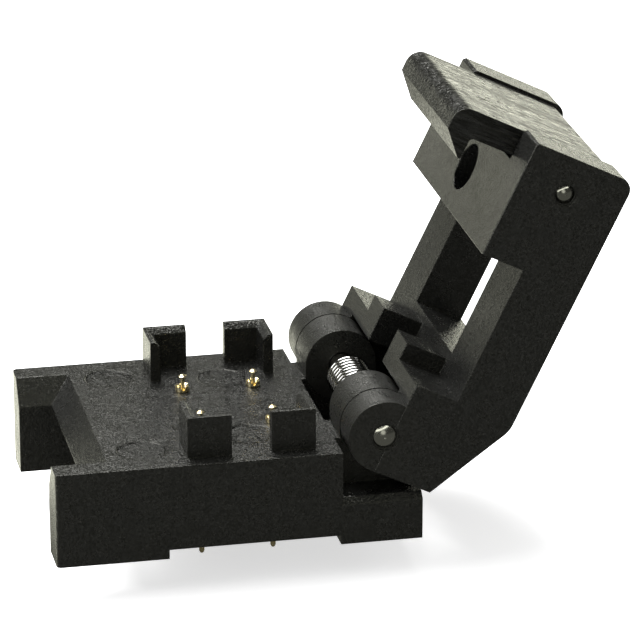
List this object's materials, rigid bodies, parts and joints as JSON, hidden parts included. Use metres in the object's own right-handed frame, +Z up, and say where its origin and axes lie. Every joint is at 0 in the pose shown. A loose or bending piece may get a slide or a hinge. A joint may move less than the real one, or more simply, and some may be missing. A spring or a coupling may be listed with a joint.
{
  "type": "crystal socket",
  "caption": "Open-top test socket with sprung probe contacts, a spring-loaded hinged lid and a snap latch lever.",
  "frame": {"origin": "centre of the four contact tails, on the board plane that the feet stand on", "axes": "+Z up out of the board, +X from the latch end to the hinge end, +Y across the socket; stored with the lid open on its stop"},
  "size_m": [0.0396, 0.0206, 0.0323],
  "materials": {
    "base_plastic": "black glass-filled moulding, fine mottled grain",
    "lid_plastic": "black glass-filled moulding, fine mottled grain",
    "lever_plastic": "black glass-filled moulding, streaky grain",
    "pin_steel": "polished dowel",
    "spring_steel": "bright spring wire",
    "contact_gold": "gold plated",
    "plunger_gold": "gold plated",
    "leg_gold": "gold plated"
  },
  "bodies": {
    "base": {"base_body": "base_plastic", "hinge_spring": "spring_steel", "probe_barrel_1": "contact_gold", "probe_spring_1": "spring_steel", "probe_leg_1": "leg_gold", "probe_barrel_2": "contact_gold", "probe_spring_2": "spring_steel", "probe_leg_2": "leg_gold", "probe_barrel_3": "contact_gold", "probe_spring_3": "spring_steel", "probe_leg_3": "leg_gold", "probe_barrel_4": "contact_gold", "probe_spring_4": "spring_steel", "probe_leg_4": "leg_gold"},
    "lid": {"lid_frame": "lid_plastic", "hinge_pin": "pin_steel", "latch_pin": "pin_steel", "latch_spring": "spring_steel"},
    "latch": {"latch_lever": "lever_plastic"},
    "plunger_1": {"probe_plunger_1": "plunger_gold"},
    "plunger_2": {"probe_plunger_2": "plunger_gold"},
    "plunger_3": {"probe_plunger_3": "plunger_gold"},
    "plunger_4": {"probe_plunger_4": "plunger_gold"}
  },
  "joints": [
    {"name": "lid_hinge", "type": "hinge", "parent": "base", "child": "lid", "pos_m": [0.00902, 0, 0.00767], "axis": [0, 1, 0], "range_deg": [-115.9, 0], "stiffness_Nm_per_rad": 0.004, "springref_deg": 34.38, "deforming": ["hinge_spring"]},
    {"name": "latch_hinge", "type": "hinge", "parent": "lid", "child": "latch", "pos_m": [0.02135, 0, 0.02422], "axis": [0, 1, 0], "range_deg": [0, 12], "stiffness_Nm_per_rad": 0.01, "springref_deg": -8.59, "deforming": ["latch_spring"]},
    {"name": "plunger_slide_1", "type": "slide", "parent": "base", "child": "plunger_1", "axis": [0, 0, 1], "range_m": [-0.0006, 0], "stiffness_N_per_m": 500, "springref_m": 0.0004, "deforming": ["probe_spring_1"]},
    {"name": "plunger_slide_2", "type": "slide", "parent": "base", "child": "plunger_2", "axis": [0, 0, 1], "range_m": [-0.0006, 0], "stiffness_N_per_m": 500, "springref_m": 0.0004, "deforming": ["probe_spring_2"]},
    {"name": "plunger_slide_3", "type": "slide", "parent": "base", "child": "plunger_3", "axis": [0, 0, 1], "range_m": [-0.0006, 0], "stiffness_N_per_m": 500, "springref_m": 0.0004, "deforming": ["probe_spring_3"]},
    {"name": "plunger_slide_4", "type": "slide", "parent": "base", "child": "plunger_4", "axis": [0, 0, 1], "range_m": [-0.0006, 0], "stiffness_N_per_m": 500, "springref_m": 0.0004, "deforming": ["probe_spring_4"]}
  ]
}
